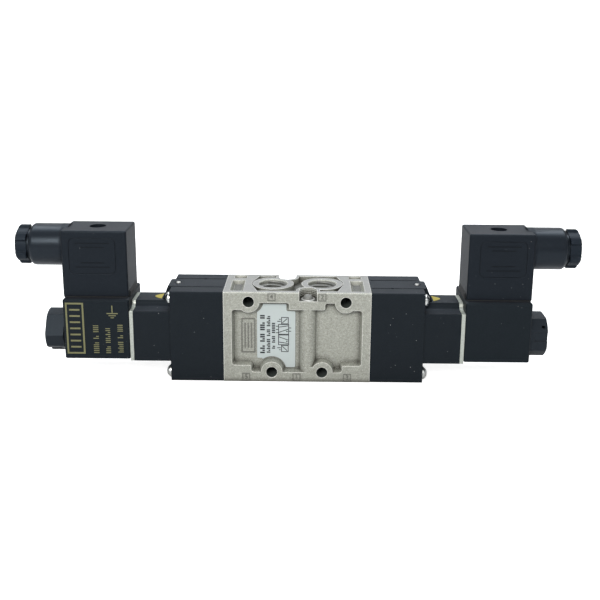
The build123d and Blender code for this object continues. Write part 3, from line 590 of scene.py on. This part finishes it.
def port_thread(name, x, z0):
    """Helical ridge of a female thread about a vertical axis; it fades at both ends."""
    spans = int((THREAD_LENGTH - THREAD_PITCH) / THREAD_PITCH * THREAD_STEPS)
    section = [(THREAD_ROOT, -0.47), (THREAD_CREST, -0.06),
               (THREAD_CREST, 0.06), (THREAD_ROOT, 0.47)]  # radius, height in pitches
    points = []
    for i in range(spans + 1):
        angle = 2 * math.pi * i / THREAD_STEPS
        z = z0 + THREAD_PITCH / 2 + THREAD_PITCH * i / THREAD_STEPS
        fade = min(1.0, i / (THREAD_STEPS * 0.35), (spans - i) / (THREAD_STEPS * 0.35))
        for radius, rise in section:
            faded = THREAD_ROOT - (THREAD_ROOT - radius) * max(fade, 0.02)
            points.append((x + faded * math.cos(angle), faded * math.sin(angle),
                           z + rise * THREAD_PITCH))
    add_part(name, points, sweep_faces(spans, len(section)), "thread")


for port, place, z0 in PORTS:
    port_thread(f"port_thread_{port}", place * PORT_PITCH, z0)


# --------------------------------------------------------------- port numbers
BODY_FRONT = -15.0      # y of the face that carries the numbers
MARK_HEIGHT = 0.13      # how far numbers and their frames stand proud
MARK_HALF_WIDTH, MARK_HALF_HEIGHT = 1.65, 1.7
# digit, x, z
PORT_MARKS = (("4", -11.75, 41.4), ("2", 11.5, 41.4),
              ("5", -23.6, 2.3), ("1", -0.1, 2.3), ("3", 23.5, 2.3))


def text_mesh(name, text, size, half_depth):
    curve = bpy.data.curves.new(name, "FONT")
    curve.body = text
    curve.size = size * MM
    curve.extrude = half_depth * MM
    curve.align_x = "CENTER"
    curve.align_y = "CENTER"
    holder = bpy.data.objects.new(name + "_tmp", curve)
    scene.collection.objects.link(holder)
    bpy.context.view_layer.update()
    evaluated = holder.evaluated_get(bpy.context.evaluated_depsgraph_get())
    mesh = bpy.data.meshes.new_from_object(evaluated)
    bpy.data.objects.remove(holder)
    return mesh


def port_mark(digit, x, z):
    """A port number and its frame, cast into the front face."""
    centre = (x, BODY_FRONT, z)
    # the number and its frame are coloured dark as painted shade of the cast relief
    border = Marks(centre, FRONT, MARK_HEIGHT)
    border.frame(-MARK_HALF_WIDTH, MARK_HALF_WIDTH, -MARK_HALF_HEIGHT, MARK_HALF_HEIGHT,
                 width=0.28)
    border.build(f"port_mark_frame_{digit}", "cast_shade_line")
    mesh = text_mesh(f"digit_{digit}", digit, size=3.0, half_depth=MARK_HEIGHT)
    mesh.materials.clear()
    mesh.materials.append(MATERIALS["cast_shade_line"])
    number = bpy.data.objects.new(f"port_mark_{digit}", mesh)
    scene.collection.objects.link(number)
    upright = Matrix.Rotation(math.radians(90), 4, "X")
    number.matrix_world = Matrix.Translation(Vector(centre) * MM) @ upright
    bpy.context.view_layer.update()
    attach(number)


for digit, x, z in PORT_MARKS:
    port_mark(digit, x, z)


# --------------------------------------------------------------- half-open ball seats
SEAT_X, SEAT_Y = 5.0, -10.9     # front seat; the back one is half a turn round Z
SEAT_RADIUS = 4.1
RIB_CREST = 3.92
RIB_HALF = 0.26                 # half the height of a rib's base
RIB_START, RIB_PITCH, RIB_COUNT = 40.3, 0.85, 4
LIP_Z, LIP_RADIUS = 39.45, 2.85
LIP_HALF_WIDTH, LIP_HALF_HEIGHT = 0.34, 0.22


def half_rib(name, x, y, z, facing):
    """Fine turned rib on the inner wall of a seat: a low triangle with a buried base."""
    spans = 28
    root = SEAT_RADIUS + 0.06
    turn = 0 if facing == FRONT else math.pi
    points = []
    for i in range(spans + 1):
        angle = math.radians(12 + 156 * i / spans) + turn
        for radius, rise in ((root, -RIB_HALF), (RIB_CREST, 0.0), (root, RIB_HALF)):
            points.append((x + radius * math.cos(angle), y + radius * math.sin(angle), z + rise))
    add_part(name, points, sweep_faces(spans, 3), "cast")


def staked_lip(name, x, y):
    """Flattened ring round a ball."""
    spans, count = 48, 8
    points = []
    for i in range(spans):
        angle = 2 * math.pi * i / spans
        for j in range(count):
            turn = 2 * math.pi * j / count
            radius = LIP_RADIUS + LIP_HALF_WIDTH * math.cos(turn)
            points.append((x + radius * math.cos(angle), y + radius * math.sin(angle),
                           LIP_Z + LIP_HALF_HEIGHT * math.sin(turn)))
    add_part(name, points, sweep_faces(spans, count, closed=True), "lip",
             smooth=True)


for facing, place in ((FRONT, "front"), (BACK, "back")):
    seat_x, seat_y = -facing * SEAT_X, -facing * SEAT_Y
    for k in range(RIB_COUNT):
        half_rib(f"seat_rib_{place}_{k + 1}", seat_x, seat_y, RIB_START + RIB_PITCH * k, facing)
    staked_lip(f"staked_lip_{place}", seat_x, seat_y)


# --------------------------------------------------------------- cast frame and label
def cast_frame():
    """Frame with three upright bars in the left front pocket."""
    marks = Marks((-22.7, -11.7, 21.6), FRONT, height=0.2)
    line_width = 0.35
    marks.frame(-3.0, 3.0, -8.2, 8.2, line_width)
    for u in (-1.5, 0.0, 1.5):
        marks.line((u, -6.0), (u, 6.0), line_width)
    # the frame and bars are coloured dark as painted shade of the cast relief
    marks.build("cast_frame_mark", "cast_shade_line")


def valve_symbol(marks):
    """Generic five-port, two-position valve symbol, standing on end."""
    pen = 0.36
    left, right = -8.6, -3.9
    middle = 22.2
    split = pen / 2 + 0.01      # keeps the two position boxes apart
    marks.frame(left, right, middle - 5.0, middle - split, pen)
    marks.frame(left, right, middle + split, middle + 5.0, pen)
    # an actuator box above and below, with its slash and two side strokes
    for s in (1, -1):
        near, far = middle + s * 5.3, middle + s * 8.4
        marks.frame(left + 1.4, right - 0.2, *sorted((near, far)), pen)
        marks.line((left + 1.9, near + s * 0.6), (right - 0.8, far - s * 0.6), pen)
        marks.rect(left - 0.6, left + 1.0, *sorted((near + s * 1.0, near + s * 1.4)))
        marks.rect(left + 0.2, left + 1.0, *sorted((near + s * 2.0, near + s * 2.35)))
    # flow paths: heights of the left and right ends
    for rise0, rise1 in ((1.2, 2.6), (3.7, 4.3), (-1.2, -2.6), (-3.7, -4.3)):
        marks.line((left + 0.4, middle + rise0), (right - 0.4, middle + rise1), pen)
    # port stubs
    for rise in (0.9, 2.5, 4.1):
        marks.line((left - 1.1, middle + rise), (left - 0.35, middle + rise), pen)
    for rise in (1.7, 3.3):
        marks.line((right + 0.35, middle + rise), (right + 1.0, middle + rise), pen)
    # arrow heads
    for tip in (middle + 1.6, middle - 3.3):
        marks.polygon([(right - 0.25, tip), (right - 1.1, tip - 0.42),
                       (right - 1.1, tip + 0.42)])


def label_print():
    marks = Marks((0, -11.88, 0), FRONT, height=0.02)
    # u0, u1, v0, v1, pitch, stroke width, seed, rows left out
    for column in ((-17.2, -15.0, 12.9, 33.4, 2.10, 0.76, 11, (2, 5, 8)),
                   (-14.1, -12.45, 13.2, 32.8, 1.76, 0.60, 12, (4, 7)),
                   (-11.7, -10.2, 15.2, 28.2, 1.76, 0.60, 13, (1, 4))):
        marks.stroke_column(*column)
    valve_symbol(marks)
    marks.build("label_print", "ink_dark")


cast_frame()
label_print()


# --------------------------------------------------------------- coil print
def coil_print(name, facing):
    """Ruled frame, stroke columns and earth symbol: on the front of the left coil and,
    turned half a turn, on the back of the right one. u runs towards the valve body."""
    marks = Marks((facing * 92.8, facing * 14.5, 0), facing, height=0.03)
    u0, u1, v0, v1 = -13.6, -6.0, 13.2, 37.2
    marks.frame(u0, u1, v0, v1, width=0.8)
    rungs = 7
    for k in range(1, rungs + 1):
        v = v0 + (v1 - v0) * k / (rungs + 1)
        marks.rect(u0 + 1.4, u1 - 1.4, v - 0.4, v + 0.4)
    # u0, u1, v0, v1, seed, rows left out
    for *area_limits, seed, gaps in ((-1.6, 0.9, 13.2, 28.4, 3, (3, 5)),
                                     (4.1, 6.3, 13.2, 26.0, 4, (2,)),
                                     (9.7, 12.2, 13.6, 28.6, 5, (3, 5))):
        marks.stroke_column(*area_limits, pitch=1.90, width=0.42, seed=seed, gaps=gaps)
    # earth symbol: stem, then bars from the longest down
    for bar in ((7.35, 7.85, 32.9, 36.4), (5.0, 10.2, 32.3, 32.8),
                (5.9, 9.3, 31.3, 31.75), (6.8, 8.4, 30.3, 30.7)):
        marks.rect(*bar)
    marks.build(name, "ink_olive")


coil_print("coil_print_left", FRONT)
coil_print("coil_print_right", BACK)

# --------------------------------------------------------------- connector bars
# the raised bars are coloured dark as painted shade
# half length, height from the panel's middle
CONNECTOR_BARS = ((7.6, 6.05), (5.2, 4.15), (5.2, -3.2), (7.6, -5.25))
for side, side_name in ((1, "right"), (-1, "left")):
    for facing, face_name in ((BACK, "back"), (FRONT, "front")):
        bars = Marks((side * 94.0, facing * 11.0, 58.9), facing, height=0.10)
        for half, v in CONNECTOR_BARS:
            bars.line((-half, v), (half, v), width=0.42)
        bars.build(f"connector_bars_{side_name}_{face_name}", "conn_shade_line")


# --------------------------------------------------------------- stage (metres)
def paper():
    """Pale matte paper that glows for the camera only."""
    m = Surface("pale_paper")
    base = (0.72, 0.72, 0.72)
    clouds = m.noise(size=60.0, detail=2.0, rough=0.5)
    seen = m.camera_ray()
    return m.finish(
        Base_Color=m.mix_color(m.multiply(clouds, 0.2), base, scaled(base, 0.98)),
        Roughness=0.9, Specular_IOR_Level=0.1,
        Emission_Color=(1, 1, 1), Emission_Strength=m.multiply(seen, 0.83))


def backdrop():
    """Floor that curves up into a wall behind the valve."""
    half_width, front, wall_top = 5.0, -3.0, 4.5
    bend_start, bend_radius, bend_steps = 1.6, 1.2, 12
    profile = [(front, 0.0), (bend_start, 0.0)]
    for k in range(1, bend_steps + 1):
        angle = math.radians(90 * k / bend_steps)
        profile.append((bend_start + bend_radius * math.sin(angle),
                        bend_radius - bend_radius * math.cos(angle)))
    profile.append((bend_start + bend_radius, wall_top))
    points = [(x, y, z) for y, z in profile for x in (-half_width, half_width)]
    faces = [(2 * i, 2 * i + 1, 2 * i + 3, 2 * i + 2) for i in range(len(profile) - 1)]
    mesh = bpy.data.meshes.new("backdrop")
    mesh.from_pydata(points, [], faces)
    mesh.polygons.foreach_set("use_smooth", [True] * len(faces))
    sheet = bpy.data.objects.new("backdrop", mesh)
    scene.collection.objects.link(sheet)
    mesh.materials.append(paper())


def studio_world():
    """Cool light, stronger from above and behind; the camera sees plain white."""
    world = bpy.data.worlds.new("studio")
    scene.world = world
    world.use_nodes = True
    sky = Tree(world.node_tree)
    background = sky.tree.nodes["Background"]
    direction = sky.split(sky.node("ShaderNodeTexCoord").outputs["Generated"])
    above = sky.span(direction[2], start=-0.1, end=0.9, low=0.0, high=0.10)
    behind = sky.span(direction[1], start=-0.4, end=0.7, low=0.38, high=0.80)
    strength = sky.add(above, behind)
    seen = sky.camera_ray()
    sky.feed(background.inputs[1], sky.mix_value(seen, strength, 1.0))
    sky.feed(background.inputs[0], sky.mix_color(seen, (0.93, 0.965, 1.0), (1.0, 1.0, 1.0)))


def area_light(name, place, target, width, height, power, color=(1, 1, 1)):
    light = bpy.data.lights.new(name, "AREA")
    light.shape = "RECTANGLE"
    light.size = width
    light.size_y = height
    light.energy = power
    light.color = color
    lamp = bpy.data.objects.new(name, light)
    scene.collection.objects.link(lamp)
    lamp.location = place
    lamp.rotation_mode = "QUATERNION"
    lamp.rotation_quaternion = (Vector(target) - Vector(place)).to_track_quat("-Z", "Y")


backdrop()
studio_world()
area_light("overhead", place=(0.0, 0.25, 0.80), target=(0, 0.0, 0.03),
           width=0.9, height=0.5, power=2.1, color=(0.80, 0.90, 1.0))
area_light("front_key", place=(-0.22, -1.10, 0.72), target=(0, 0, 0.03),
           width=0.42, height=0.42, power=11.0, color=(1.0, 0.985, 0.955))
area_light("backdrop_light", place=(0.0, 1.0, 1.8), target=(0, 2.2, 0.4),
           width=2.0, height=2.0, power=30.0)

# --------------------------------------------------------------- camera
CAMERA_PITCH, CAMERA_YAW, CAMERA_ROLL = 13.5739, -0.4382, 0.4201  # degrees
CAMERA_PLACE = (1.1679, -389.794, 158.2996)  # millimetres, before the yaw about Z


def add_camera():
    pitch, yaw, roll = map(math.radians, (CAMERA_PITCH, CAMERA_YAW, CAMERA_ROLL))
    turn = Matrix.Rotation(-yaw, 3, "Z")
    level_right = turn @ Vector((1, 0, 0))
    level_up = turn @ Vector((0, math.sin(pitch), math.cos(pitch)))
    forward = turn @ Vector((0, math.cos(pitch), -math.sin(pitch)))
    right = level_right * math.cos(roll) + level_up * math.sin(roll)
    up = level_up * math.cos(roll) - level_right * math.sin(roll)
    place = (turn @ Vector(CAMERA_PLACE)) * MM
    lens = bpy.data.cameras.new("camera")
    camera = bpy.data.objects.new("camera", lens)
    scene.collection.objects.link(camera)
    rows = [(right[i], up[i], -forward[i], place[i]) for i in range(3)]
    camera.matrix_world = Matrix((*rows, (0, 0, 0, 1)))
    lens.sensor_width = 36.0
    lens.sensor_fit = "HORIZONTAL"
    lens.lens = 51.44586
    lens.shift_x = -0.000666667
    lens.shift_y = -0.09808333
    lens.clip_start = 0.01
    lens.clip_end = 30
    scene.camera = camera


add_camera()
scene.view_settings.view_transform = "Standard"
scene.view_settings.look = "None"
scene.view_settings.exposure = 0.0

bpy.context.view_layer.update()
